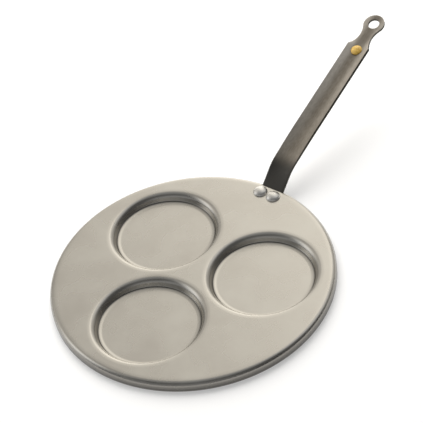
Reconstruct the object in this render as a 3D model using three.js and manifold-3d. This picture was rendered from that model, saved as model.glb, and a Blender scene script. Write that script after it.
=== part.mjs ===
// Pancake pan: a pressed steel plate with three shallow round cups, a turned-down rim
// and a long dished strip handle that is riveted beneath the rim and ends in a hanging eye.
// Millimetres, +Z up. The handle runs along +Y and the pan stands on the undersides of its cups.

import * as THREE from 'three';
import { mergeVertices } from 'three/addons/utils/BufferGeometryUtils.js';
import Module from 'manifold-3d';

const wasm = await Module();
wasm.setup();

const { degToRad } = THREE.MathUtils;

// Plate: one sheet of even thickness
const plateRadius = 135;
const sheetThickness = 2;
const skirtDepth = 9.8;
const rimRadius = 4.6;

// Cups: drawn down from the plate, evenly spaced, the first one opposite the handle;
// the lands are the flat widths left from a cup's mouth to the plate's edge and to the next cup
const cupCount = 3;
const cupRimLand = 12.7;
const cupNextLand = 4.7;
const cupDepth = 8.2;
const cupWallAngle = degToRad(72);
const cupLipRadius = 6.5;
const cupFloorRadius = 2.4;
const cupFlange = 1.8;
const cupFlangeLap = 0.9;

// Handle strip: flat foot under the plate, short steep rise, long grip, flat eye
const stripWidth = 23.5;
const stripThickness = 2.5;
const riseSetIn = 5;
const riseAngle = degToRad(40);
const riseLength = 26.2;
const riseBend = 1;
const gripAngle = degToRad(17.5);
const gripLength = 182;
const gripBend = 35;
const footLap = 15;
const footEndMargin = 0.75;

// Dish: the grip is pressed hollow along its middle and runs out flat at both ends
const dishDepth = 2.8;
const dishRamp = 75;
const dishFadeFrom = 33;
const dishFadeTo = 14;

// Hanging eye, neck and shoulders, measured back from the middle of the eye
const eyeRadius = 10.9;
const eyeHoleRadius = 5.8;
const neckHalfWidth = 6.85;
const neckArcRadius = 23.5;

// Rivets: domed heads on the plate, flat formed tails under the foot
const rivetSpacing = 15;
const rivetSetback = 8;
const rivetShankRadius = 3;
const rivetHeadRadius = 7.1;
const rivetHeadHeight = 4;
const rivetTailRadius = 4.2;
const rivetTailHeight = 1.6;
const rivetTailChamfer = 0.6;

// Stud: a round domed button set into the handle just before the shoulders
const studSetback = 35;
const studHeadRadius = 5.8;
const studHeadHeight = 2.4;
const studRimHeight = 0.8;
const studShankRadius = 3;

// Fits
const seatGap = 0.3;
const rivetClearance = 0.3;
const notchSideClearance = 0.6;
const notchGap = 0.3;
const notchLand = 0.3;
const cutMargin = 1;

// Places that follow from the sizes above, measured from the middle of the plate
const cupHalfTurn = Math.PI / cupCount;
const cupPitchRadius = (plateRadius - cupRimLand + cupNextLand / 2) / (1 + Math.sin(cupHalfTurn));
const cupMouthRadius = plateRadius - cupRimLand - cupPitchRadius;
const riseFoot = plateRadius - riseSetIn;
const rivetPlace = riseFoot - rivetSetback;
const footEnd = rivetPlace - footLap;

// Facets
const rimSegments = 80;
const cupSegments = 40;
const rivetSegments = 24;
const sectionDivisions = 3;
const arcDivisions = 12;
const stripColumns = 9;
const stationPitch = 8;
const bendStations = 6;

// Draws straights and tangent bends from a start point along a heading; a positive bend turns left.
function bentPath(start, heading, moves) {
  const path = new THREE.Path();
  const point = start.clone();
  path.moveTo(point.x, point.y);
  for (const { straight, bend, radius } of moves) {
    point.x += straight * Math.cos(heading);
    point.y += straight * Math.sin(heading);
    path.lineTo(point.x, point.y);
    if (!bend) continue;
    const side = Math.sign(bend);
    const centreX = point.x - side * radius * Math.sin(heading);
    const centreY = point.y + side * radius * Math.cos(heading);
    const from = heading - side * Math.PI / 2;
    path.absarc(centreX, centreY, radius, from, from + bend, side < 0);
    heading += bend;
    point.set(centreX + radius * Math.cos(from + bend), centreY + radius * Math.sin(from + bend));
  }
  return path;
}

// Upper and lower faces of a bent sheet's section; lowerSide is 1 when the lower face is on the left.
function sheetFaces(start, heading, moves, lowerSide) {
  const lowerStart = new THREE.Vector2(start.x, start.y - sheetThickness);
  const lowerMoves = moves.map(({ straight, bend, radius }) => {
    const change = bend ? lowerSide * Math.sign(bend) * sheetThickness : 0;
    return { straight, bend, radius: radius - change };
  });
  const upper = bentPath(start, heading, moves).getPoints(sectionDivisions);
  const lower = bentPath(lowerStart, heading, lowerMoves).getPoints(sectionDivisions);
  return { upper, lower };
}

// Revolves a closed section about the vertical axis.
function revolve(points, segments) {
  const geometry = new THREE.LatheGeometry(points, segments);
  geometry.rotateX(Math.PI / 2);
  return geometry;
}

// Extrudes a plan outline upwards between two heights.
function prism(shape, low, high) {
  const geometry = new THREE.ExtrudeGeometry(shape, {
    depth: high - low,
    bevelEnabled: false,
    curveSegments: arcDivisions,
  });
  geometry.translate(0, 0, low);
  return geometry;
}

// Upright cylinder between two heights.
function post(radius, low, high, segments) {
  const geometry = new THREE.CylinderGeometry(radius, radius, high - low, segments);
  geometry.rotateX(Math.PI / 2);
  geometry.translate(0, 0, (low + high) / 2);
  return geometry;
}

// Closed solid for joining and cutting.
function solid(geometry) {
  geometry.deleteAttribute('normal');
  geometry.deleteAttribute('uv');
  const merged = mergeVertices(geometry);
  return new wasm.Manifold(new wasm.Mesh({
    numProp: 3,
    vertProperties: new Float32Array(merged.attributes.position.array),
    triVerts: new Uint32Array(merged.index.array),
  }));
}

// Geometry of a finished solid.
function surface(body) {
  const mesh = body.getMesh();
  const geometry = new THREE.BufferGeometry();
  geometry.setAttribute('position', new THREE.BufferAttribute(mesh.vertProperties, 3));
  geometry.setIndex(new THREE.BufferAttribute(mesh.triVerts, 1));
  geometry.computeVertexNormals();
  return geometry;
}

function rivetPlaces() {
  return [-1, 1].map((side) => new THREE.Vector3(side * rivetSpacing / 2, rivetPlace, 0));
}

// Flat disc with its edge turned down into the skirt.
function discBody() {
  const moves = [
    { straight: plateRadius - rimRadius, bend: -Math.PI / 2, radius: rimRadius },
    { straight: skirtDepth - rimRadius },
  ];
  const { upper, lower } = sheetFaces(new THREE.Vector2(0, 0), 0, moves, -1);
  return solid(revolve([...lower, ...upper.reverse()], rimSegments));
}

// One drawn cup with a narrow flange that laps the disc; its section is drawn inwards from the flange.
function cupBody() {
  const bothRadii = cupLipRadius + cupFloorRadius;
  const bendDrop = bothRadii * (1 - Math.cos(cupWallAngle));
  const wallLength = (cupDepth - bendDrop) / Math.sin(cupWallAngle);
  const wallReach = bothRadii * Math.sin(cupWallAngle) + wallLength * Math.cos(cupWallAngle);
  const moves = [
    { straight: cupFlange, bend: cupWallAngle, radius: cupLipRadius },
    { straight: wallLength, bend: -cupWallAngle, radius: cupFloorRadius },
    { straight: cupMouthRadius - wallReach },
  ];
  const start = new THREE.Vector2(cupMouthRadius + cupFlange, 0);
  const { upper, lower } = sheetFaces(start, Math.PI, moves, 1);
  upper.at(-1).x = 0;
  lower.at(-1).x = 0;
  return solid(revolve([...lower.reverse(), ...upper], cupSegments));
}

// Opening in the rim for the handle; its inner edge is bevelled to the slope of the handle's rise.
function notchBody() {
  const bendSetback = riseBend * Math.tan(riseAngle / 2);
  const innerEdge = riseFoot - bendSetback - notchGap / Math.sin(riseAngle);
  const landEdge = innerEdge + (sheetThickness - notchLand) / Math.tan(riseAngle);
  const outerEdge = plateRadius + cutMargin;
  const bottom = -skirtDepth - cutMargin;
  const width = stripWidth + 2 * notchSideClearance;
  const shape = new THREE.Shape();
  shape.moveTo(innerEdge, bottom);
  shape.lineTo(outerEdge, bottom);
  shape.lineTo(outerEdge, cutMargin);
  shape.lineTo(landEdge, cutMargin);
  shape.lineTo(landEdge, -notchLand);
  shape.lineTo(innerEdge, -sheetThickness);
  const geometry = prism(shape, -width / 2, width / 2);
  const sideways = new THREE.Matrix4().makeBasis(
    new THREE.Vector3(0, 1, 0),
    new THREE.Vector3(0, 0, 1),
    new THREE.Vector3(1, 0, 0),
  );
  geometry.applyMatrix4(sideways);
  return solid(geometry);
}

function plateGeometry() {
  const holeRadius = cupMouthRadius + cupFlange - cupFlangeLap;
  let body = discBody();
  for (let i = 0; i < cupCount; i++) {
    const angle = -Math.PI / 2 + i * 2 * cupHalfTurn;
    const place = [cupPitchRadius * Math.cos(angle), cupPitchRadius * Math.sin(angle), 0];
    const hole = solid(post(holeRadius, -sheetThickness - cutMargin, cutMargin, cupSegments));
    body = body.subtract(hole.translate(place)).add(cupBody().translate(place));
  }
  body = body.subtract(notchBody());
  for (const place of rivetPlaces()) {
    const radius = rivetShankRadius + rivetClearance;
    const hole = solid(post(radius, -sheetThickness - cutMargin, cutMargin, rivetSegments));
    body = body.subtract(hole.translate(place.toArray()));
  }
  return surface(body);
}

// Upper face of the strip along its middle, in the upright plane of the handle: foot, rise, grip, eye.
function handleProfile() {
  const riseSetback = riseBend * Math.tan(riseAngle / 2);
  const gripSetback = gripBend * Math.tan((riseAngle - gripAngle) / 2);
  const start = new THREE.Vector2(footEnd - cutMargin, -sheetThickness);
  return bentPath(start, 0, [
    { straight: riseFoot - riseSetback - start.x, bend: riseAngle, radius: riseBend },
    { straight: riseLength - riseSetback - gripSetback, bend: gripAngle - riseAngle, radius: gripBend },
    { straight: gripLength - gripSetback + eyeRadius + cutMargin },
  ]);
}

// Middle of the eye on the upper face.
function eyeCentre() {
  const y = riseFoot + riseLength * Math.cos(riseAngle) + gripLength * Math.cos(gripAngle);
  const z = -sheetThickness + riseLength * Math.sin(riseAngle) + gripLength * Math.sin(gripAngle);
  return new THREE.Vector3(0, y, z);
}

// Depth of the dish at a distance past the foot and a distance before the eye.
function dishAt(pastFoot, beforeEye) {
  const rising = THREE.MathUtils.smoothstep(pastFoot, 0, dishRamp);
  const fading = THREE.MathUtils.smoothstep(beforeEye, dishFadeTo, dishFadeFrom);
  return dishDepth * rising * fading;
}

// Section of the strip: upper face from left to right, then the lower face back.
function stripSection(point, tangent, depth) {
  const upper = [];
  const lower = [];
  for (let i = 0; i < stripColumns; i++) {
    const across = 2 * i / (stripColumns - 1) - 1;
    const x = across * stripWidth / 2;
    const lift = depth * across * across;
    const tilt = Math.atan(4 * depth * across / stripWidth);
    const lowerX = x + stripThickness * Math.sin(tilt);
    const lowerLift = lift - stripThickness * Math.cos(tilt);
    upper.push(new THREE.Vector3(x, point.x - lift * tangent.y, point.y + lift * tangent.x));
    lower.push(new THREE.Vector3(lowerX, point.x - lowerLift * tangent.y, point.y + lowerLift * tangent.x));
  }
  return [...upper, ...lower.reverse()];
}

// Skin through equal sections, with flat ends.
function loft(sections) {
  const count = sections[0].length;
  const last = (sections.length - 1) * count;
  const index = [];
  for (let i = 0; i < last; i += count) {
    for (let j = 0; j < count; j++) {
      const near = i + j;
      const next = i + (j + 1) % count;
      index.push(near, next, next + count, near, next + count, near + count);
    }
  }
  for (let j = 0; j < count / 2 - 1; j++) {
    const across = count - 1 - j;
    index.push(j, across, j + 1, j + 1, across, across - 1);
    index.push(last + j, last + j + 1, last + across, last + j + 1, last + across - 1, last + across);
  }
  const geometry = new THREE.BufferGeometry();
  const points = sections.flat().flatMap((point) => point.toArray());
  geometry.setAttribute('position', new THREE.Float32BufferAttribute(points, 3));
  geometry.setIndex(index);
  return geometry;
}

// The strip bent along its profile and dished, still with square ends.
function stripBody() {
  const profile = handleProfile();
  const eyeDistance = profile.getLength() - eyeRadius - cutMargin;
  const footLength = profile.curves[0].getLength();
  const sections = [];
  let travelled = 0;
  for (const curve of profile.curves) {
    const length = curve.getLength();
    const steps = curve.isLineCurve ? Math.ceil(length / stationPitch) : bendStations;
    for (let i = sections.length ? 1 : 0; i <= steps; i++) {
      const distance = travelled + length * i / steps;
      const depth = dishAt(distance - footLength, eyeDistance - distance);
      sections.push(stripSection(curve.getPointAt(i / steps), curve.getTangentAt(i / steps), depth));
    }
    travelled += length;
  }
  return solid(loft(sections));
}

// Moves a body drawn about the eye, in the plane of the grip, to its place on the handle.
function toGrip(geometry) {
  const eye = eyeCentre();
  geometry.rotateX(gripAngle);
  geometry.translate(eye.x, eye.y, eye.z);
  return geometry;
}

// Outline of the end: shoulders where the neck arcs leave the strip's sides, neck, eye and its hole.
function endOutline() {
  const side = stripWidth / 2 + cutMargin + dishDepth;
  const arcX = neckHalfWidth + neckArcRadius;
  const arcBack = Math.sqrt((eyeRadius + neckArcRadius) ** 2 - arcX ** 2);
  const startBack = Math.sqrt(neckArcRadius ** 2 - (arcX - side) ** 2);
  const startAngle = Math.PI + Math.atan2(startBack, arcX - side);
  const tangentAngle = Math.atan2(arcBack, -arcX);
  const eyeAngle = Math.atan2(-arcBack, arcX);
  const reach = gripLength + riseLength + riseFoot;
  const shape = new THREE.Shape();
  shape.moveTo(side, -reach);
  shape.lineTo(side, -arcBack - startBack);
  shape.absarc(arcX, -arcBack, neckArcRadius, startAngle, tangentAngle, true);
  shape.absarc(0, 0, eyeRadius, eyeAngle, Math.PI - eyeAngle, false);
  shape.absarc(-arcX, -arcBack, neckArcRadius, Math.PI - tangentAngle, Math.PI - startAngle, true);
  shape.lineTo(-side, -reach);
  const hole = new THREE.Path();
  hole.absarc(0, 0, eyeHoleRadius, 0, 2 * Math.PI, false);
  shape.holes.push(hole);
  return shape;
}

// Outline of the foot: a full round end that the strip's sides run into.
function footOutline() {
  const radius = stripWidth / 2 + footEndMargin;
  const far = eyeCentre().y + 2 * eyeRadius;
  const side = radius + dishDepth;
  const shape = new THREE.Shape();
  shape.absarc(0, footEnd + radius, radius, Math.PI, 2 * Math.PI, false);
  shape.lineTo(radius, riseFoot);
  shape.lineTo(side, riseFoot);
  shape.lineTo(side, far);
  shape.lineTo(-side, far);
  shape.lineTo(-side, riseFoot);
  shape.lineTo(-radius, riseFoot);
  return shape;
}

function handleGeometry() {
  const reach = gripLength;
  let body = stripBody();
  body = body.intersect(solid(prism(footOutline(), -reach, reach)));
  body = body.intersect(solid(toGrip(prism(endOutline(), -reach, reach))));
  for (const place of rivetPlaces()) {
    const radius = rivetShankRadius + rivetClearance;
    const low = -sheetThickness - stripThickness - cutMargin;
    const hole = solid(post(radius, low, cutMargin - sheetThickness, rivetSegments));
    body = body.subtract(hole.translate(place.toArray()));
  }
  const seat = post(studHeadRadius + seatGap, 0, stripThickness, rivetSegments);
  const bore = post(studShankRadius + seatGap, -stripThickness - cutMargin, cutMargin, rivetSegments);
  for (const cut of [seat, bore]) {
    cut.translate(0, -studSetback, 0);
    body = body.subtract(solid(toGrip(cut)));
  }
  return surface(body);
}

// Rivet about its own axis, with the head's seat at height zero.
function rivetGeometry() {
  const shankEnd = -sheetThickness - stripThickness;
  const tailEnd = shankEnd - rivetTailHeight;
  const domeRadius = (rivetHeadRadius ** 2 + rivetHeadHeight ** 2) / (2 * rivetHeadHeight);
  const domeCentre = rivetHeadHeight - domeRadius;
  const domeStart = Math.asin(-domeCentre / domeRadius);
  const section = new THREE.Path();
  section.moveTo(0, tailEnd);
  section.lineTo(rivetTailRadius - rivetTailChamfer, tailEnd);
  section.lineTo(rivetTailRadius, tailEnd + rivetTailChamfer);
  section.lineTo(rivetTailRadius, shankEnd);
  section.lineTo(rivetShankRadius, shankEnd);
  section.lineTo(rivetShankRadius, 0);
  section.absarc(0, domeCentre, domeRadius, domeStart, Math.PI / 2, false);
  const points = section.getPoints(sectionDivisions);
  points.at(-1).x = 0;
  return revolve(points, rivetSegments);
}

// Stud about its own axis, with the handle's seat at height zero.
function studGeometry() {
  const domeHeight = studHeadHeight - studRimHeight;
  const domeRadius = (studHeadRadius ** 2 + domeHeight ** 2) / (2 * domeHeight);
  const domeCentre = studHeadHeight - domeRadius;
  const domeStart = Math.asin((studRimHeight - domeCentre) / domeRadius);
  const section = new THREE.Path();
  section.moveTo(0, -stripThickness);
  section.lineTo(studShankRadius, -stripThickness);
  section.lineTo(studShankRadius, seatGap);
  section.lineTo(studHeadRadius, seatGap);
  section.absarc(0, domeCentre, domeRadius, domeStart, Math.PI / 2, false);
  const points = section.getPoints(sectionDivisions);
  points.at(-1).x = 0;
  return revolve(points, rivetSegments);
}

function part(name, geometry, colour, roughness, metalness) {
  const material = new THREE.MeshStandardMaterial({ color: colour, roughness, metalness });
  const mesh = new THREE.Mesh(geometry, material);
  mesh.name = name;
  return mesh;
}

const pan = new THREE.Group();
pan.add(part('pan_plate', plateGeometry(), '#b9afa0', 0.45, 1));
pan.add(part('handle', handleGeometry(), '#6f675f', 0.5, 1));
rivetPlaces().forEach((place, i) => {
  const rivet = part(['rivet_left', 'rivet_right'][i], rivetGeometry(), '#c9c6c1', 0.2, 1);
  rivet.position.copy(place);
  pan.add(rivet);
});

// The grip's plane carries the stud.
const grip = new THREE.Group();
grip.position.copy(eyeCentre());
grip.rotation.x = gripAngle;
const stud = part('handle_stud', studGeometry(), '#cf9a3c', 0.3, 0);
stud.position.y = -studSetback;
grip.add(stud);
pan.add(grip);

// The origin is the middle of the footprint on the standing surface.
const tip = eyeCentre().y + eyeRadius * Math.cos(gripAngle) + stripThickness * Math.sin(gripAngle);
pan.position.set(0, (plateRadius - tip) / 2, cupDepth + sheetThickness);

const object = new THREE.Group();
object.add(pan);
export default object;
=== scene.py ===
# %% [markdown]
# # A pancake pan of pressed steel
# The real pan is one sheet of bare carbon steel with three shallow round cups, and a strip
# handle that two rivets hold beneath the rim. The imported solids fix every size and place, so
# the first step loads them and keeps their box, to print beside the dressed pan's box at the end.

# %% Load the imported pan
import math

import bmesh
import bpy
from mathutils import Matrix, Vector


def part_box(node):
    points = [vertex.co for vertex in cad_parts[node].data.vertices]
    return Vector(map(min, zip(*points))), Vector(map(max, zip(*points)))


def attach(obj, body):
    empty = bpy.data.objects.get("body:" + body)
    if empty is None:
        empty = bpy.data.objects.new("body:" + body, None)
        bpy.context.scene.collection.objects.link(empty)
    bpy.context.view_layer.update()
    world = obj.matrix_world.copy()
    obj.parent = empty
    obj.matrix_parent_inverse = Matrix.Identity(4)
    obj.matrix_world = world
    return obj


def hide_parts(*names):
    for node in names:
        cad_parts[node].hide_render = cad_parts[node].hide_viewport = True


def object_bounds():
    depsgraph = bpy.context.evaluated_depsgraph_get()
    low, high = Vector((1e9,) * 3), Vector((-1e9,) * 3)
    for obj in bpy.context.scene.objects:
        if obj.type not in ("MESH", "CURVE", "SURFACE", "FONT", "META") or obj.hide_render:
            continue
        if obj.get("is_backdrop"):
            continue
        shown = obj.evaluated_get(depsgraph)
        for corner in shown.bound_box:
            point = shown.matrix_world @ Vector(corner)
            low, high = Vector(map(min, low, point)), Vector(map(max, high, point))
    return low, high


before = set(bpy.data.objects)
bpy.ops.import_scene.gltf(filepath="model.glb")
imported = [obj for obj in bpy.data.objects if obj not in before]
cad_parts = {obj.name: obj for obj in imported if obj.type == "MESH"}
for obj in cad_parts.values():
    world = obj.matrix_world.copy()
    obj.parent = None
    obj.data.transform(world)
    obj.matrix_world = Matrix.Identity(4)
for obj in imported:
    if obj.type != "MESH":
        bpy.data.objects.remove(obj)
solid_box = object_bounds()
MM = 0.001
print("nodes:", sorted(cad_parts))

# %% [markdown]
# The plate's own node gives the middle of its top face. Everything on the pan is measured from
# that point: cups and rivets across the plate, the handle along +Y, heights up and down from
# the top face.

# %% Find the middle of the plate's top face
plate_low, plate_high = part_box("pan_plate")
PLATE_RADIUS = (plate_high.x - plate_low.x) / 2
TOP = Vector((0, plate_low.y + PLATE_RADIUS, plate_high.z))
print("plate radius", round(PLATE_RADIUS / MM, 2), "mm")
print("top face at", [round(v / MM, 2) for v in TOP], "mm")

# %% [markdown]
# Four helpers serve the pieces. One spins a polyline of a section about an upright axis, as a
# lathe would. One finds sharp edges and one rounds edges off. The last turns a finished bmesh
# into an object that rides on the pan's only body and stands for its plain solid.


# %% Helpers for spun sections and finished pieces
MERGE = 0.001 * MM


def spin_section(bm, centre, section, steps):
    """Spin a polyline of (radius, height) points about an upright axis; returns the new faces."""
    before = set(bm.faces)
    verts = [bm.verts.new(centre + Vector((0, -radius, height))) for radius, height in section]
    edges = [bm.edges.new(pair) for pair in zip(verts, verts[1:])]
    bmesh.ops.spin(
        bm, geom=verts + edges, cent=centre, axis=(0, 0, 1), angle=2 * math.pi, steps=steps,
        use_merge=True,
    )
    bmesh.ops.remove_doubles(bm, verts=bm.verts, dist=MERGE)
    return [face for face in bm.faces if face not in before]


def sharp_edges(bm, least_degrees):
    """Edges whose two faces meet at more than an angle."""
    least = math.radians(least_degrees)
    return [e for e in bm.edges if len(e.link_faces) == 2 and e.calc_face_angle() > least]


def round_edges(bm, edges, offset, segments, clamp=False):
    """Bevel edges into a round of some segments."""
    bmesh.ops.bevel(
        bm, geom=edges, offset=offset, offset_type="OFFSET", segments=segments, profile=0.5,
        affect="EDGES", clamp_overlap=clamp, material=-1,
    )


def finish_piece(bm, name, node):
    """Make a smooth-shaded object of a bmesh, on the pan's body, in place of a plain solid."""
    mesh = bpy.data.meshes.new(name)
    for face in bm.faces:
        face.smooth = True
    bm.to_mesh(mesh)
    bm.free()
    piece = bpy.data.objects.new(name, mesh)
    bpy.context.scene.collection.objects.link(piece)
    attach(piece, "root")
    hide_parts(node)
    size = [round(d / MM, 1) for d in piece.dimensions]
    print(name, "has", len(mesh.polygons), "faces and is", size, "mm")
    return piece


# %% [markdown]
# ## The plate
# A press draws the cups and turns the rim down out of one flat sheet. The model follows the
# press: the rim and each cup are spun from a few points, their creases are bevelled into round
# fillets, and the flat web between them is filled. Only then does the sheet get its thickness,
# so the underside follows the top everywhere.

# %% Rim, spun with a sharp corner and then rounded
SHEET = 2.0 * MM
SKIRT_DEPTH = 9.8 * MM
RIM_FILLET = 4.6 * MM
FLAT_RING = 7.5 * MM
RIM_STEPS = 256
FILLET_SEGMENTS = 8
CLOSE = 0.01 * MM

plate = bmesh.new()
rim_section = [(PLATE_RADIUS - FLAT_RING, 0), (PLATE_RADIUS, 0), (PLATE_RADIUS, -SKIRT_DEPTH)]
spin_section(plate, TOP, rim_section, RIM_STEPS)
rim_corner = [
    e for e in plate.edges
    if all(abs((v.co - TOP).length - PLATE_RADIUS) < CLOSE for v in e.verts)
]
round_edges(plate, rim_corner, RIM_FILLET, FILLET_SEGMENTS)
print("rim:", len(plate.faces), "faces")

# %% [markdown]
# The handle passes through a notch in the rim. Three cuts mark the notch on the rim's faces
# and the faces inside it are deleted. The inner edge gets its slope later, on the underside.

# %% Notch in the rim for the handle
STRIP_WIDTH = 23.5 * MM
NOTCH_CLEARANCE = 0.6 * MM
NOTCH_TOP_EDGE = 131.2 * MM
NOTCH_UNDER_EDGE = 129.17 * MM
NOTCH_ZONE = 40.0 * MM

notch_side = STRIP_WIDTH / 2 + NOTCH_CLEARANCE
notch_edge = TOP.y + NOTCH_TOP_EDGE
cuts = [
    ((notch_side, 0, 0), (1, 0, 0), NOTCH_ZONE),
    ((-notch_side, 0, 0), (1, 0, 0), NOTCH_ZONE),
    ((0, notch_edge, 0), (0, 1, 0), notch_side),
]
for point, normal, reach in cuts:
    far_half = [f for f in plate.faces if f.verts[0].co.y > TOP.y]
    near = [f for f in far_half if abs(f.calc_center_median().x) < reach]
    edges = list(dict.fromkeys(e for f in near for e in f.edges))
    verts = list(dict.fromkeys(v for f in near for v in f.verts))
    bmesh.ops.bisect_plane(
        plate, geom=near + edges + verts, dist=CLOSE, plane_co=point, plane_no=normal
    )
inside = []
for face in plate.faces:
    middle = face.calc_center_median()
    if abs(middle.x) < notch_side and middle.y > notch_edge:
        inside.append(face)
bmesh.ops.delete(plate, geom=inside, context="FACES")
print("notch:", len(inside), "faces taken out")

# %% [markdown]
# Each cup is a flat floor, a steep wall and a lip. Drawing a sheet leaves soft starts: the last
# few millimetres of the floor rise slightly, and a shoulder dips gently before the lip turns
# down. They give the bright line round the floor and the soft edge round the mouth. The rings
# are lists of (radius, rise) and (radius, dip) in millimetres.

# %% Three cups, spun and filleted
CUP_PITCH_RADIUS = 66.8 * MM
CUP_DEPTH = 8.2 * MM
CUP_WALL_ANGLE = math.radians(72)
CUP_LIP_RADIUS = 50.6 * MM
CUP_LIP_DROP = 0.35 * MM
CUP_LIP_FILLET = 5.6 * MM
CUP_FLOOR_FILLET = 1.6 * MM
SHOULDER_RING = [(54.9, 0.09), (56.0, 0.03), (57.0, 0.0), (57.5, 0.0)]
FLOOR_RING = [(43.7, 0.0), (44.2, 0.0), (44.7, 0.035), (45.9, 0.19)]
FLOOR_EDGE_LIFT = 0.47 * MM
CUP_STEPS = 160
CUP_ANGLES = [math.radians(a) for a in (-90, 30, 150)]

floor_height = FLOOR_EDGE_LIFT - CUP_DEPTH
floor_edge = CUP_LIP_RADIUS - (-CUP_LIP_DROP - floor_height) / math.tan(CUP_WALL_ANGLE)
ring_radius, ring_lift = FLOOR_RING[-1]
floor_slope = math.atan2(FLOOR_EDGE_LIFT - ring_lift * MM, floor_edge - ring_radius * MM)
floor_tangent = CUP_FLOOR_FILLET * math.tan((CUP_WALL_ANGLE - floor_slope) / 2)
shoulder_radius, shoulder_drop = SHOULDER_RING[0]
shoulder_fall = CUP_LIP_DROP - shoulder_drop * MM
shoulder_slope = math.atan2(shoulder_fall, shoulder_radius * MM - CUP_LIP_RADIUS)
lip_tangent = CUP_LIP_FILLET * math.tan((CUP_WALL_ANGLE - shoulder_slope) / 2)
creases = [(floor_edge, floor_height, floor_tangent), (CUP_LIP_RADIUS, -CUP_LIP_DROP, lip_tangent)]
cup_section = [(0, -CUP_DEPTH)]
cup_section += [(radius * MM, lift * MM - CUP_DEPTH) for radius, lift in FLOOR_RING]
cup_section += [(radius, height) for radius, height, tangent in creases]
cup_section += [(radius * MM, -drop * MM) for radius, drop in SHOULDER_RING]
for angle in CUP_ANGLES:
    centre = TOP + CUP_PITCH_RADIUS * Vector((math.cos(angle), math.sin(angle), 0))
    faces = spin_section(plate, centre, cup_section, CUP_STEPS)
    for radius, height, tangent in creases:
        reach = math.hypot(radius, height)
        crease = []
        for edge in dict.fromkeys(e for f in faces if f.is_valid for e in f.edges):
            if all(abs((v.co - centre).length - reach) < CLOSE for v in edge.verts):
                crease.append(edge)
        round_edges(plate, crease, tangent, FILLET_SEGMENTS)
print("cup floor ends at", round(floor_edge / MM, 2), "mm from its middle")
print("cup lip starts at", round((CUP_LIP_RADIUS + lip_tangent) / MM, 2), "mm from its middle")

# %% [markdown]
# The web between the cups and the rim is flat, so one fill closes it. Each rivet's bore brings
# a flat ring of its own, which keeps the shading of the bore's edge beneath the rivet's head.

# %% Web and rivet bores
RIVET_SPACING = 15.0 * MM
RIVET_PLACE = 122.0 * MM
SHANK_RADIUS = 3.0 * MM
BORE_CLEARANCE = 0.3 * MM
RIVET_SEAT = 4.6 * MM
HOLE_STEPS = 64

bore_radius = SHANK_RADIUS + BORE_CLEARANCE
rivet_places = [TOP + Vector((side * RIVET_SPACING / 2, RIVET_PLACE, 0)) for side in (-1, 1)]
for centre in rivet_places:
    spin_section(plate, centre, [(bore_radius, 0), (RIVET_SEAT, 0)], HOLE_STEPS)
open_edges = []
for edge in plate.edges:
    first = edge.verts[0].co
    of_bore = any((first - centre).length < bore_radius + CLOSE for centre in rivet_places)
    level = all(abs(v.co.z - TOP.z) < CLOSE for v in edge.verts)
    within = all((v.co - TOP).length < PLATE_RADIUS - FLAT_RING + CLOSE for v in edge.verts)
    if edge.is_boundary and level and within and not of_bore:
        open_edges.append(edge)
bmesh.ops.triangle_fill(plate, edges=open_edges, use_beauty=True, normal=(0, 0, 1))
bmesh.ops.remove_doubles(plate, verts=plate.verts, dist=MERGE)
bmesh.ops.recalc_face_normals(plate, faces=plate.faces)
web = min(plate.faces, key=lambda f: (f.calc_center_median() - TOP).length)
if web.normal.z < 0:
    bmesh.ops.reverse_faces(plate, faces=plate.faces)
print("sheet:", len(plate.faces), "faces on its top side")

# %% [markdown]
# The sheet gets its thickness downwards. The notch's inner edge slopes with the handle, which
# its lower corner shows, and every cut edge is broken slightly, as a press shop leaves it.

# %% Thickness and cut edges
CUT_EDGE_BREAK = 0.3 * MM
CUT_EDGE_DEGREES = 50
BREAK_SEGMENTS = 2
NOTCH_EDGE_REACH = 0.2 * MM

bmesh.ops.solidify(plate, geom=plate.faces, thickness=SHEET)
for vert in plate.verts:
    at_edge = abs(vert.co.y - notch_edge) < NOTCH_EDGE_REACH
    between_sides = abs(vert.co.x) < notch_side + CLOSE
    if at_edge and between_sides and vert.co.z < TOP.z - SHEET / 2:
        vert.co.y = TOP.y + NOTCH_UNDER_EDGE
round_edges(plate, sharp_edges(plate, CUT_EDGE_DEGREES), CUT_EDGE_BREAK, BREAK_SEGMENTS)
pan_plate = finish_piece(plate, "pressed_plate", "pan_plate")

# %% [markdown]
# ## The handle
# The handle starts as a flat blank cut from strip: a round foot, parallel sides, shoulders, a
# neck and an eye, with bores for the rivets and the stud. The stretches list the strip's
# straights and bends in order, as (length, turn, radius). The outline needs few points, with
# arcs where it is round.


# %% Outline of the handle's blank
def arc(x, y, radius, start, end, steps):
    """Points of an arc, both ends included, angles in radians."""
    turns = [start + (end - start) * i / steps for i in range(steps + 1)]
    return [(x + radius * math.cos(t), y + radius * math.sin(t)) for t in turns]


FOOT_END = 107.0 * MM
RISE_FOOT = 130.0 * MM
RISE_ANGLE = math.radians(40)
RISE_LENGTH = 26.2 * MM
RISE_BEND = 1.0 * MM
GRIP_ANGLE = math.radians(17.5)
GRIP_LENGTH = 182.0 * MM
GRIP_BEND = 35.0 * MM
FOOT_RADIUS = 12.5 * MM
EYE_RADIUS = 10.9 * MM
EYE_HOLE_RADIUS = 5.8 * MM
NECK_HALF_WIDTH = 6.85 * MM
NECK_ARC_RADIUS = 23.5 * MM
FOOT_STEPS = 16
NECK_STEPS = 24
EYE_STEPS = 36
STUD_SETBACK = 35.0 * MM

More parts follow.
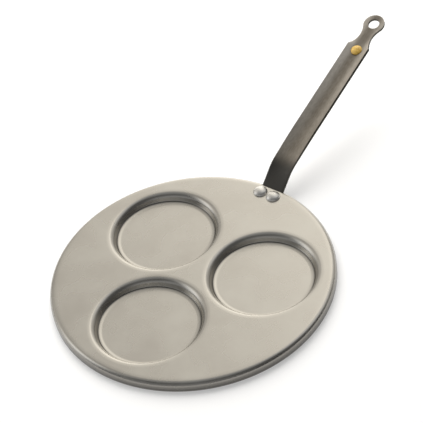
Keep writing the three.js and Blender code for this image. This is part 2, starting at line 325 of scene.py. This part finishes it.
rise_setback = RISE_BEND * math.tan(RISE_ANGLE / 2)
grip_setback = GRIP_BEND * math.tan((RISE_ANGLE - GRIP_ANGLE) / 2)
stretches = [
    (RISE_FOOT - rise_setback - FOOT_END, 0, 0),
    (RISE_BEND * RISE_ANGLE, RISE_ANGLE, RISE_BEND),
    (RISE_LENGTH - rise_setback - grip_setback, 0, 0),
    (GRIP_BEND * (RISE_ANGLE - GRIP_ANGLE), GRIP_ANGLE - RISE_ANGLE, GRIP_BEND),
    (GRIP_LENGTH - grip_setback + EYE_RADIUS, 0, 0),
]
blank_length = sum(length for length, turn, radius in stretches)
eye_at = blank_length - EYE_RADIUS
half = STRIP_WIDTH / 2

neck_x = NECK_HALF_WIDTH + NECK_ARC_RADIUS
neck_back = math.sqrt((EYE_RADIUS + NECK_ARC_RADIUS) ** 2 - neck_x**2)
shoulder_back = math.sqrt(NECK_ARC_RADIUS**2 - (neck_x - half) ** 2)
shoulder_turn = math.pi + math.atan2(shoulder_back, neck_x - half)
neck_turn = math.atan2(neck_back, -neck_x)
eye_turn = math.atan2(-neck_back, neck_x)
foot_turn = -math.acos(half / FOOT_RADIUS)
right_side = arc(0, FOOT_RADIUS, FOOT_RADIUS, -math.pi / 2, foot_turn, FOOT_STEPS)
neck_y = eye_at - neck_back
right_side += arc(neck_x, neck_y, NECK_ARC_RADIUS, shoulder_turn, neck_turn, NECK_STEPS)
right_side += arc(0, eye_at, EYE_RADIUS, eye_turn, math.pi / 2, EYE_STEPS)[1:]
outline = right_side + [(-x, y) for x, y in reversed(right_side[1:-1])]
rivet_at = RIVET_PLACE - FOOT_END
holes = [(0, eye_at, EYE_HOLE_RADIUS), (0, eye_at - STUD_SETBACK, bore_radius)]
holes += [(side * RIVET_SPACING / 2, rivet_at, bore_radius) for side in (-1, 1)]
print("blank:", round(blank_length / MM, 1), "mm long with", len(holes), "holes")

# %% [markdown]
# One fill between the outline and the holes makes the blank. The fill leaves thin triangles,
# so the edges between level faces are dissolved again.

# %% Fill the blank
FLAT_DEGREES = 1

strip = bmesh.new()
for loop in [outline] + [arc(*hole, 0, 2 * math.pi, HOLE_STEPS)[:-1] for hole in holes]:
    ring = [strip.verts.new((x, y, 0)) for x, y in loop]
    for i, vert in enumerate(ring):
        strip.edges.new((vert, ring[i - 1]))
bmesh.ops.triangle_fill(strip, edges=strip.edges[:], use_beauty=True, normal=(0, 0, 1))
flat = math.radians(FLAT_DEGREES)
bmesh.ops.dissolve_limit(strip, angle_limit=flat, verts=[], edges=strip.edges[:])
print("blank filled with", len(strip.faces), "faces")

# %% [markdown]
# A flat face can't bend, so the blank is cut across and along first. The bends need cuts close
# together and the long grip needs fewer.

# %% Cut the blank for bending
BEND_CUTS = 8
GRIP_CUT_PITCH = 3.0 * MM
COLUMNS = 14

cut_marks = []
mark = 0.0
for length, turn, radius in stretches:
    count = BEND_CUTS if turn else max(1, round(length / GRIP_CUT_PITCH))
    cut_marks += [mark + length * i / count for i in range(1, count + 1)]
    mark += length
planes = [((0, y, 0), (0, 1, 0)) for y in cut_marks[:-1]]
planes += [((half * (2 * i / COLUMNS - 1), 0, 0), (1, 0, 0)) for i in range(1, COLUMNS)]
for point, normal in planes:
    everything = strip.verts[:] + strip.edges[:] + strip.faces[:]
    bmesh.ops.bisect_plane(strip, geom=everything, dist=CLOSE, plane_co=point, plane_no=normal)
print("blank cut into", len(strip.faces), "faces")

# %% [markdown]
# The press bends the strip and hollows the grip along its middle, deepest in the hand and
# fading to nothing at the foot and at the eye. Each point of the blank goes to its place along
# the bent profile. The strip then gets its thickness, and its narrow sides a second finish and
# softly broken edges.


# %% Bend and dish the blank
DISH_DEPTH = 2.8 * MM
DISH_RAMP = 75.0 * MM
DISH_FADE_FROM = 33.0 * MM
DISH_FADE_TO = 14.0 * MM
STRIP_THICKNESS = 2.5 * MM
STRIP_EDGE_BREAK = 0.45 * MM
STRIP_EDGE_DEGREES = 60
STRIP_EDGE_SEGMENTS = 3
SHEARED_EDGE = 1


def along_profile(distance):
    """Place and slope of the handle's top face at a distance from the end of its foot."""
    y, z, slope = FOOT_END, -SHEET, 0.0
    for length, turn, radius in stretches:
        part = min(distance, length)
        if turn:
            bent = turn * part / length
            side = math.copysign(radius, turn)
            y += side * (math.sin(slope + bent) - math.sin(slope))
            z += side * (math.cos(slope) - math.cos(slope + bent))
            slope += bent
        else:
            y += part * math.cos(slope)
            z += part * math.sin(slope)
        distance -= part
        if distance <= 0:
            break
    return y, z, slope


def smooth_step(value, start, end):
    """Nought before start, one after end, and a smooth rise between."""
    t = min(1.0, max(0.0, (value - start) / (end - start)))
    return t * t * (3 - 2 * t)


foot_length = stretches[0][0]
for vert in strip.verts:
    x, distance = vert.co.xy
    y, z, slope = along_profile(distance)
    rise = smooth_step(distance - foot_length, 0, DISH_RAMP)
    fade = smooth_step(eye_at - distance, DISH_FADE_TO, DISH_FADE_FROM)
    lift = DISH_DEPTH * rise * fade * (x / half) ** 2
    vert.co = TOP + Vector((x, y - lift * math.sin(slope), z + lift * math.cos(slope)))
bmesh.ops.recalc_face_normals(strip, faces=strip.faces)
if sum(face.normal.z for face in strip.faces) < 0:
    bmesh.ops.reverse_faces(strip, faces=strip.faces)
upper = set(strip.verts)
bmesh.ops.solidify(strip, geom=strip.faces, thickness=STRIP_THICKNESS)
for face in strip.faces:
    if 0 < sum(v in upper for v in face.verts) < len(face.verts):
        face.material_index = SHEARED_EDGE
rim_edges = []
for edge in sharp_edges(strip, STRIP_EDGE_DEGREES):
    if edge.link_faces[0].material_index != edge.link_faces[1].material_index:
        rim_edges.append(edge)
round_edges(strip, rim_edges, STRIP_EDGE_BREAK, STRIP_EDGE_SEGMENTS, clamp=True)
handle = finish_piece(strip, "strip_handle", "handle")

# %% [markdown]
# ## Rivets and stud
# Rivets are turned parts, so each is one spun section, from the formed tail beneath the strip
# up to its domed head, which is half an ellipse.

# %% Rivets
RIVET_HEAD = 7.1 * MM
RIVET_HEAD_HEIGHT = 4.0 * MM
RIVET_TAIL = 4.2 * MM
RIVET_TAIL_HEIGHT = 1.6 * MM
RIVET_TAIL_CHAMFER = 0.6 * MM
RIVET_EDGE_BREAK = 0.25 * MM
HEAD_STEPS = 14
TURNED_STEPS = 64
TURNED_EDGE_DEGREES = 40

shank_end = -SHEET - STRIP_THICKNESS
tail_end = shank_end - RIVET_TAIL_HEIGHT
rivet_section = [
    (0, tail_end),
    (RIVET_TAIL - RIVET_TAIL_CHAMFER, tail_end),
    (RIVET_TAIL, tail_end + RIVET_TAIL_CHAMFER),
    (RIVET_TAIL, shank_end),
    (SHANK_RADIUS, shank_end),
    (SHANK_RADIUS, 0),
]
for step in range(HEAD_STEPS + 1):
    turn = math.pi / 2 * step / HEAD_STEPS
    rivet_section.append((RIVET_HEAD * math.cos(turn), RIVET_HEAD_HEIGHT * math.sin(turn)))
rivets = []
for centre, name in zip(rivet_places, ("left", "right")):
    body = bmesh.new()
    spin_section(body, centre, rivet_section, TURNED_STEPS)
    bmesh.ops.recalc_face_normals(body, faces=body.faces)
    round_edges(body, sharp_edges(body, TURNED_EDGE_DEGREES), RIVET_EDGE_BREAK, BREAK_SEGMENTS)
    rivets.append(finish_piece(body, f"domed_rivet_{name}", f"rivet_{name}"))

# %% [markdown]
# The stud is spun in the same way, with a shallow arc on a low rim for its head. It is spun
# upright and then leaned to the grip.

# %% Stud
STUD_HEAD = 5.8 * MM
STUD_HEAD_HEIGHT = 2.4 * MM
STUD_RIM_HEIGHT = 0.8 * MM
STUD_SEAT_GAP = 0.3 * MM
STUD_EDGE_BREAK = 0.2 * MM
DOME_STEPS = 10


def dome(radius, low, high, steps):
    """Arc of a domed head from its rim up to the axis, as (radius, height) points."""
    ball = (radius**2 + (high - low) ** 2) / (2 * (high - low))
    start = math.asin((low - (high - ball)) / ball)
    return arc(0, high - ball, ball, start, math.pi / 2, steps)


stud_section = [
    (0, -STRIP_THICKNESS),
    (SHANK_RADIUS, -STRIP_THICKNESS),
    (SHANK_RADIUS, STUD_SEAT_GAP),
    (STUD_HEAD, STUD_SEAT_GAP),
]
stud_section += dome(STUD_HEAD, STUD_RIM_HEIGHT, STUD_HEAD_HEIGHT, DOME_STEPS)
button = bmesh.new()
spin_section(button, Vector(), stud_section, TURNED_STEPS)
bmesh.ops.recalc_face_normals(button, faces=button.faces)
round_edges(button, sharp_edges(button, TURNED_EDGE_DEGREES), STUD_EDGE_BREAK, BREAK_SEGMENTS)
stud_y, stud_z, _ = along_profile(eye_at - STUD_SETBACK)
bmesh.ops.rotate(button, verts=button.verts, matrix=Matrix.Rotation(GRIP_ANGLE, 3, "X"))
bmesh.ops.translate(button, verts=button.verts, vec=TOP + Vector((0, stud_y, stud_z)))
stud = finish_piece(button, "domed_stud", "handle_stud")

# %% [markdown]
# ## Finishes
# Colours are written as they look on a screen, so one function turns them into the linear
# values that a shader takes. Another adds a node with its settings and links. Patterns read
# Object coordinates, which are metres here, so a pattern's scale is one over its size.


# %% Colour and node helpers
def linear(hex_colour):
    """Linear colour of an sRGB hex value."""
    parts = [int(hex_colour[i : i + 2], 16) / 255 for i in (1, 3, 5)]
    return [p / 12.92 if p <= 0.04045 else ((p + 0.055) / 1.055) ** 2.4 for p in parts] + [1.0]


def add_node(tree, kind, values=None, links=None, **settings):
    """Add one node, set its properties and input values, and link its inputs."""
    node = tree.nodes.new(kind)
    for name, value in settings.items():
        setattr(node, name, value)
    for name, value in (values or {}).items():
        node.inputs[name].default_value = value
    for name, socket in (links or {}).items():
        tree.links.new(socket, node.inputs[name])
    return node


def new_finish(name):
    """An empty material's node tree, its shader and its object coordinates."""
    material = bpy.data.materials.new(name)
    material.use_nodes = True
    tree = material.node_tree
    place = add_node(tree, "ShaderNodeTexCoord")
    return material, tree, tree.nodes["Principled BSDF"], place.outputs["Object"]


# %% [markdown]
# The finishes share a few steps, each a single node: a noise of a real size, two tones that a
# noise runs between, a roughness that follows it, a shallow relief, a soft step from one place
# to another and a tint laid over part of a colour. A noise stays mostly between 0.3 and 0.7, so
# tones and roughness are spread over that range.


# %% Steps that the finishes share
NOISE_LOW = 0.3
NOISE_HIGH = 0.7


def noise(tree, size, detail, place):
    """Noise with patches of a size in metres."""
    values = {"Scale": 1 / size, "Detail": detail}
    return add_node(tree, "ShaderNodeTexNoise", values, {"Vector": place}).outputs["Fac"]


def tones(tree, value, dark, light, start=NOISE_LOW, end=NOISE_HIGH):
    """Colour that runs from a dark to a light tone."""
    ramp = add_node(tree, "ShaderNodeValToRGB", links={"Fac": value})
    stops = ramp.color_ramp.elements
    for stop, position, colour in zip(stops, (start, end), (dark, light)):
        stop.position = position
        stop.color = linear(colour)
    return ramp.outputs["Color"]


def spread(tree, value, least, most):
    """Level that follows a noise from a least to a most value."""
    values = {"From Min": NOISE_LOW, "From Max": NOISE_HIGH, "To Min": least, "To Max": most}
    return add_node(tree, "ShaderNodeMapRange", values, {"Value": value}).outputs["Result"]


def bumps(tree, value, strength, depth):
    """Normal of a shallow relief."""
    values = {"Strength": strength, "Distance": depth}
    return add_node(tree, "ShaderNodeBump", values, {"Height": value}).outputs["Normal"]


def soft_step(tree, value, start, end):
    """Level that eases from nought at start to one at end."""
    node = add_node(
        tree, "ShaderNodeMapRange", {"From Min": start, "From Max": end}, {"Value": value},
        interpolation_type="SMOOTHSTEP",
    )
    return node.outputs["Result"]


def tint(tree, share, under, over):
    """Colour with a tint laid over it by a share."""
    node = add_node(
        tree, "ShaderNodeMix", {7: linear(over)}, {0: share, 6: under}, data_type="RGBA"
    )
    return node.outputs[2]


# %% [markdown]
# The plate is bare carbon steel, pressed and left satin: a warm grey with soft cloudy patches
# a few centimetres across, from rolling oil, and a very faint grain, drawn at about a millimetre
# because the real one is too fine to show. The clouds also change how sharply it reflects.

# %% Bare satin carbon steel
CLOUD_SIZE = 38.0 * MM
GRAIN_SIZE = 0.9 * MM
GRAIN_RELIEF = 0.05 * MM

plate_steel, tree, shader, place = new_finish("bare_satin_carbon_steel")
clouds = noise(tree, CLOUD_SIZE, 3.0, place)
grain = noise(tree, GRAIN_SIZE, 2.0, place)
tone = tones(tree, clouds, "#c6c2bb", "#d1cec7")
gloss = spread(tree, clouds, least=0.24, most=0.31)
relief = bumps(tree, grain, strength=0.02, depth=GRAIN_RELIEF)
shader.inputs["Metallic"].default_value = 1.0
tree.links.new(gloss, shader.inputs["Roughness"])
tree.links.new(relief, shader.inputs["Normal"])
pan_plate.data.materials.append(plate_steel)
print("finish:", plate_steel.name)

# %% [markdown]
# The turned-down skirt and the corner round each cup's floor are darkened by painted shade. On the
# skirt it stands in for the shadowed floor that the skirt reflects, and in the corners for the
# shade of the crease. The skirt's shade goes by the distance from the middle of the plate, and the
# corner's by the height above the cups' floor.

# %% Painted shade on the skirt and in the corners of the cups
SKIRT_SHADE_WIDTH = 2.0 * MM
CORNER_SHADE_HEIGHT = 0.6 * MM
CORNER_SHADE_REACH = 0.45 * MM
CORNER_SHADE_CORE = 0.1 * MM

offset = add_node(
    tree, "ShaderNodeVectorMath", {1: (TOP.x, TOP.y, 0)}, {0: place}, operation="SUBTRACT"
)
level_offset = add_node(
    tree, "ShaderNodeVectorMath", {1: (1, 1, 0)}, {0: offset.outputs[0]}, operation="MULTIPLY"
)
from_middle = add_node(
    tree, "ShaderNodeVectorMath", links={0: level_offset.outputs[0]}, operation="LENGTH"
)
# Painted shade on the skirt, standing in for the shadowed floor that it reflects.
skirt_painted_shade = soft_step(
    tree, from_middle.outputs["Value"], PLATE_RADIUS - SKIRT_SHADE_WIDTH, PLATE_RADIUS
)
skirt_shaded_tone = tint(tree, skirt_painted_shade, tone, "#8a8782")
corner_shade_middle = TOP.z - CUP_DEPTH + CORNER_SHADE_HEIGHT
height = add_node(tree, "ShaderNodeSeparateXYZ", links={0: place})
above = add_node(
    tree, "ShaderNodeMath", {1: corner_shade_middle}, {0: height.outputs["Z"]}, operation="SUBTRACT"
)
away = add_node(tree, "ShaderNodeMath", links={0: above.outputs[0]}, operation="ABSOLUTE")
# Painted shade in the corner round each cup's floor.
corner_painted_shade = soft_step(tree, away.outputs[0], CORNER_SHADE_REACH, CORNER_SHADE_CORE)
corner_shaded_tone = tint(tree, corner_painted_shade, skirt_shaded_tone, "#6c6a66")
tree.links.new(corner_shaded_tone, shader.inputs["Base Color"])
print("film", CORNER_SHADE_REACH * 2 / MM, "mm high in the corners")

# %% [markdown]
# The handle is cut from the same steel. Rolling left fine streaks along the strip, which a noise
# stretched along the handle gives. The raised sides of the grip get a painted sheen, most of all
# near the eye, so the hollow between them looks darker: a painted reflection of the dished grip.
# From the grip down the rise the colour darkens towards the pan.

# %% Strip steel with painted sheen, darker near the pan
STREAK_WIDTH = 1.2 * MM
STREAK_LENGTH = 45.0 * MM
PATCH_SIZE = 14.0 * MM
PATCH_SHARE = 0.4
STREAK_LOW = 0.35
STREAK_HIGH = 0.65
STREAK_RELIEF = 0.1 * MM

handle_steel, tree, shader, place = new_finish("strip_steel_darker_near_pan")
stretch = add_node(
    tree, "ShaderNodeMapping",
    {"Scale": (1 / STREAK_WIDTH, 1 / STREAK_LENGTH, 1 / STREAK_WIDTH)}, {"Vector": place},
)
streaks = noise(tree, 1.0, 2.0, stretch.outputs["Vector"])
patches = noise(tree, PATCH_SIZE, 3.0, place)
blend = add_node(tree, "ShaderNodeMix", {"Factor": PATCH_SHARE}, {"A": streaks, "B": patches})
mottle = blend.outputs["Result"]
plain_tone = tones(tree, mottle, "#989085", "#afa79c", STREAK_LOW, STREAK_HIGH)
painted_sheen_tone = tones(tree, mottle, "#d9d2c7", "#ebe4da", STREAK_LOW, STREAK_HIGH)
gloss = spread(tree, streaks, least=0.34, most=0.46)
relief = bumps(tree, streaks, strength=0.08, depth=STREAK_RELIEF)
shader.inputs["Metallic"].default_value = 1.0
tree.links.new(gloss, shader.inputs["Roughness"])
tree.links.new(relief, shader.inputs["Normal"])
handle.data.materials.append(handle_steel)
print("finish:", handle_steel.name)

# %% [markdown]
# The painted sheen and the darkening are a matter of place: across the strip for the raised
# sides, and along the handle for the rest.

# %% Painted sheen across the grip, darkening along the handle
HOLLOW_HALF = 1.5 * MM
SHEEN_HALF = 9.5 * MM
SHEEN_FROM = 165.0 * MM
SHEEN_TO = 285.0 * MM
SHEEN_LEAST = 0.15
DARKEN_FROM = 166.0 * MM
DARKEN_TO = 148.0 * MM

along = add_node(tree, "ShaderNodeSeparateXYZ", links={0: place})
aside = add_node(tree, "ShaderNodeMath", links={0: along.outputs["X"]}, operation="ABSOLUTE")
raised = soft_step(tree, aside.outputs[0], HOLLOW_HALF, SHEEN_HALF)
sheen_along_grip = add_node(
    tree, "ShaderNodeMapRange",
    {"From Min": TOP.y + SHEEN_FROM, "From Max": TOP.y + SHEEN_TO, "To Min": SHEEN_LEAST},
    {"Value": along.outputs["Y"]},
)
painted_sheen = add_node(
    tree, "ShaderNodeMath", links={0: raised, 1: sheen_along_grip.outputs["Result"]}, operation="MULTIPLY"
)
# Painted sheen: the raised sides of the grip are coloured lighter than the hollow.
sheen_and_shade = add_node(
    tree, "ShaderNodeMix", links={0: painted_sheen.outputs[0], 6: plain_tone, 7: painted_sheen_tone}, data_type="RGBA"
)
# The colour darkens from the grip down the rise towards the pan.
pan_darkening = soft_step(tree, along.outputs["Y"], TOP.y + DARKEN_FROM, TOP.y + DARKEN_TO)
darkened_near_pan = tint(tree, pan_darkening, sheen_and_shade.outputs[2], "#5a5854")
tree.links.new(darkened_near_pan, shader.inputs["Base Color"])
print("heat fades over", round((DARKEN_FROM - DARKEN_TO) / MM, 1), "mm of the handle")

# %% [markdown]
# The strip's narrow sides and the walls of its holes are sheared edges, rough from shearing.
# They are coloured nearly black as painted shade, for the dark that they reflect.

# %% Sheared edge, with painted shade
BURR_SIZE = 0.8 * MM
BURR_RELIEF = 0.1 * MM

sheared_edge, tree, shader, place = new_finish("sheared_edge_painted_shade")
burr = noise(tree, BURR_SIZE, 2.0, place)
# Painted shade: the sheared sides are coloured nearly black.
tone = tones(tree, burr, "#37352f", "#54514b")
relief = bumps(tree, burr, strength=0.2, depth=BURR_RELIEF)
shader.inputs["Metallic"].default_value = 1.0
shader.inputs["Roughness"].default_value = 0.5
tree.links.new(tone, shader.inputs["Base Color"])
tree.links.new(relief, shader.inputs["Normal"])
handle.data.materials.append(sheared_edge)
print("finish:", sheared_edge.name)

# %% [markdown]
# The rivets are bright steel, rubbed by the hammer that set them, with faint dents that
# soften their highlights.

# %% Hammered bright rivet steel
DENT_SIZE = 2.5 * MM
DENT_RELIEF = 0.2 * MM

rivet_steel, tree, shader, place = new_finish("hammered_bright_steel")
dents = noise(tree, DENT_SIZE, 1.0, place)
tone = tones(tree, dents, "#efece7", "#fcfaf6", start=0.0, end=1.0)
gloss = spread(tree, dents, least=0.36, most=0.46)
relief = bumps(tree, dents, strength=0.15, depth=DENT_RELIEF)
shader.inputs["Metallic"].default_value = 1.0
tree.links.new(tone, shader.inputs["Base Color"])
tree.links.new(gloss, shader.inputs["Roughness"])
tree.links.new(relief, shader.inputs["Normal"])
for rivet in rivets:
    rivet.data.materials.append(rivet_steel)
print("finish:", rivet_steel.name)

# %% [markdown]
# The stud is cast resin with a gold-yellow pigment that settled a little unevenly, under a
# clear glossy skin.

# %% Gold pigmented resin
PIGMENT_SIZE = 4.0 * MM

stud_resin, tree, shader, place = new_finish("gold_pigmented_resin")
pigment = noise(tree, PIGMENT_SIZE, 2.0, place)
tone = tones(tree, pigment, "#ae8832", "#cdaa55")
tree.links.new(tone, shader.inputs["Base Color"])
shader.inputs["Roughness"].default_value = 0.35
shader.inputs["Coat Weight"].default_value = 0.4
shader.inputs["Coat Roughness"].default_value = 0.1
stud.data.materials.append(stud_resin)
print("finish:", stud_resin.name)

# %% [markdown]
# ## Studio
# Bare metal shows what stands round it, so the studio matters more than the lamp. It is a dim
# room with soft-edged screens. Bright, slightly warm ones behind the pan light the flat plate.
# Dimmer grey ones stand to the sides and in front, and show in the walls and lips of the cups.
# A screen is two soft windows multiplied, one over the azimuth and one over the elevation of
# the direction that a ray goes.


# %% A soft screen
def soft_window(tree, value, half_width, soft, most):
    """A level that is full near nought, falls off softly and is nought beyond; degrees."""
    away = add_node(tree, "ShaderNodeMath", links={0: value}, operation="ABSOLUTE")
    window = add_node(
        tree, "ShaderNodeMapRange",
        {
            "From Min": math.radians(half_width + soft),
            "From Max": math.radians(half_width - soft),
            "To Max": most,
        },
        {"Value": away.outputs[0]}, interpolation_type="SMOOTHSTEP",
    )
    return window.outputs[0]


def soft_screen(
    tree, direction, azimuth, half_width, side_soft, elevation, half_height, top_soft, level
):
    """Light of a soft screen, placed and sized by its angles in degrees."""
    turn = math.radians(azimuth)
    dots = []
    for axis in ((math.cos(turn), math.sin(turn), 0), (-math.sin(turn), math.cos(turn), 0)):
        dot = add_node(
            tree, "ShaderNodeVectorMath", {1: axis}, {0: direction}, operation="DOT_PRODUCT"
        )
        dots.append(dot.outputs["Value"])
    aside = add_node(
        tree, "ShaderNodeMath", links={0: dots[1], 1: dots[0]}, operation="ARCTAN2"
    )
    parts = add_node(tree, "ShaderNodeSeparateXYZ", links={0: direction})
    height = add_node(tree, "ShaderNodeMath", links={0: parts.outputs["Z"]}, operation="ARCSINE")
    above = add_node(
        tree, "ShaderNodeMath", {1: math.radians(elevation)}, {0: height.outputs[0]},
        operation="SUBTRACT",
    )
    width_window = soft_window(tree, aside.outputs[0], half_width, side_soft, level)
    height_window = soft_window(tree, above.outputs[0], half_height, top_soft, 1.0)
    light = add_node(
        tree, "ShaderNodeMath", links={0: width_window, 1: height_window}, operation="MULTIPLY"
    )
    return light.outputs[0]


# %% [markdown]
# Each row holds the azimuth, half width and softness of a screen, its elevation, half height
# and softness, all in degrees, then its level and its tint. The screens' lights add up on the
# room's own dim light.

# %% Surroundings
DIM_ROOM = 0.09
WARM_SILK = "#fffaf0"
GREY_WALL = "#fbfdff"

world = bpy.data.worlds.new("soft_studio")
bpy.context.scene.world = world
world.use_nodes = True
tree = world.node_tree
direction = add_node(tree, "ShaderNodeTexCoord").outputs["Generated"]
screens = [
    (124, 14, 16, 17, 28, 19, 1.24, WARM_SILK),
    (112, 12, 12, 55, 13, 10, 0.72, WARM_SILK),
    (146, 12, 10, 0, 16, 12, 0.34, WARM_SILK),
    (112, 48, 22, 0, 66, 20, 0.38, WARM_SILK),
    (66, 26, 20, 54, 18, 14, 0.48, GREY_WALL),
    (211, 15, 14, 24, 26, 14, 0.82, GREY_WALL),
    (188, 28, 22, 36, 24, 18, 0.50, WARM_SILK),
    (285, 50, 25, 8, 28, 18, 0.22, GREY_WALL),
    (0, 180, 1, 90, 24, 14, 0.20, GREY_WALL),
]
background = tree.nodes["Background"]
glow = None
for *place_and_level, colour in screens:
    light = soft_screen(tree, direction, *place_and_level)
    tinted = add_node(
        tree, "ShaderNodeVectorMath", {0: linear(colour)[:3]}, {"Scale": light}, operation="SCALE"
    )
    total = add_node(
        tree, "ShaderNodeVectorMath", {1: [DIM_ROOM] * 3}, {0: tinted.outputs[0]}, operation="ADD"
    )
    if glow:
        tree.links.new(glow, total.inputs[1])
    glow = total.outputs[0]
tree.links.new(glow, background.inputs["Color"])
background.inputs["Strength"].default_value = 1.0
print("studio with", len(screens), "soft screens")

# %% [markdown]
# The pan stands on a sweep of white paper. To the lens and to the metal a third of its light is
# plain white and the rest is lit paper, so it comes out white and keeps the pan's soft shadow.

# %% Floor
FLOOR_SIZE = 8.0
FLOOR_WHITE = 0.35

ground = bmesh.new()
bmesh.ops.create_grid(ground, x_segments=1, y_segments=1, size=FLOOR_SIZE / 2)
mesh = bpy.data.meshes.new("floor")
ground.to_mesh(mesh)
ground.free()
floor = bpy.data.objects.new("floor", mesh)
bpy.context.scene.collection.objects.link(floor)
floor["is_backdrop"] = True
paper, tree, shader, _ = new_finish("white_paper_sweep")
shader.inputs["Base Color"].default_value = linear("#f2f1ef")
shader.inputs["Roughness"].default_value = 0.9
shader.inputs["Specular IOR Level"].default_value = 0.0
path = add_node(tree, "ShaderNodeLightPath")
seen = add_node(
    tree, "ShaderNodeMath",
    links={0: path.outputs["Is Camera Ray"], 1: path.outputs["Is Glossy Ray"]}, operation="MAXIMUM",
)
seen = add_node(
    tree, "ShaderNodeMath",
    links={0: seen.outputs[0], 1: path.outputs["Is Transmission Ray"]}, operation="MAXIMUM",
)
share = add_node(
    tree, "ShaderNodeMath", {1: FLOOR_WHITE}, {0: seen.outputs[0]}, operation="MULTIPLY"
)
white = add_node(tree, "ShaderNodeEmission", {"Color": (1, 1, 1, 1), "Strength": 1.0})
mixed = add_node(
    tree, "ShaderNodeMixShader",
    links={0: share.outputs[0], 1: shader.outputs[0], 2: white.outputs[0]},
)
tree.links.new(mixed.outputs[0], tree.nodes["Material Output"].inputs["Surface"])
floor.data.materials.append(paper)
print("floor", FLOOR_SIZE, "m across")

# %% [markdown]
# One large soft lamp stands behind the pan on the left. The metal doesn't reflect it, because
# the screens already draw the metal. It lights the paper and the stud's resin, and throws the
# pan's soft shadow forward to the right.

# %% Lamp
LAMP_PLACE = Vector((-1.3, 1.0, 1.5))
LAMP_SIZE = 2.4
LAMP_WATTS = 95.0

lamp_data = bpy.data.lights.new("back_softbox", "AREA")
lamp_data.shape = "SQUARE"
lamp_data.size = LAMP_SIZE
lamp_data.energy = LAMP_WATTS
lamp = bpy.data.objects.new("back_softbox", lamp_data)
lamp.location = LAMP_PLACE
lamp.visible_glossy = False
lamp.rotation_euler = (TOP - LAMP_PLACE).to_track_quat("-Z", "Y").to_euler()
bpy.context.scene.collection.objects.link(lamp)
print("lamp", LAMP_WATTS, "W")

# %% [markdown]
# ## Camera
# The photograph was taken from well above the rim, to the right of the handle's line, with a
# long lens and the camera tipped a little. Those angles, the distance and the point that the
# lens looks at came from fitting the outlines of plate and cups.

# %% Camera
VIEW_AZIMUTH = math.radians(43.27)
VIEW_ELEVATION = math.radians(43.19)
VIEW_ROLL = math.radians(-9.91)
VIEW_DISTANCE = 1578.7 * MM
LOOK_AT = TOP + Vector((-34.06, 76.86, -1.0)) * MM
FOCAL_PIXELS = 1628.4
PHOTO_PIXELS = 423
SENSOR_WIDTH = 36.0

back = Vector((
    math.sin(VIEW_AZIMUTH) * math.cos(VIEW_ELEVATION),
    -math.cos(VIEW_AZIMUTH) * math.cos(VIEW_ELEVATION),
    math.sin(VIEW_ELEVATION),
))
level_right = Vector((math.cos(VIEW_AZIMUTH), math.sin(VIEW_AZIMUTH), 0))
level_up = back.cross(level_right)
right = math.cos(VIEW_ROLL) * level_right + math.sin(VIEW_ROLL) * level_up
up = math.cos(VIEW_ROLL) * level_up - math.sin(VIEW_ROLL) * level_right
camera_data = bpy.data.cameras.new("camera")
camera_data.sensor_width = SENSOR_WIDTH
camera_data.sensor_fit = "HORIZONTAL"
camera_data.lens = FOCAL_PIXELS / PHOTO_PIXELS * SENSOR_WIDTH
camera = bpy.data.objects.new("camera", camera_data)
turned = Matrix((right, up, back)).transposed().to_4x4()
camera.matrix_world = Matrix.Translation(LOOK_AT + back * VIEW_DISTANCE) @ turned
bpy.context.scene.collection.objects.link(camera)
bpy.context.scene.camera = camera
bpy.context.scene.view_settings.view_transform = "Standard"
print("lens", round(camera_data.lens, 1), "mm")

# %% [markdown]
# ## Size
# The dressed pan must stay in the box of its solids, so both boxes are written down.

# %% Print the boxes and finish
dressed_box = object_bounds()
boxes = {"solids": solid_box, "dressed": dressed_box}
for name, (low, high) in boxes.items():
    print(name, [round((b - a) / MM, 1) for a, b in zip(low, high)], "mm")
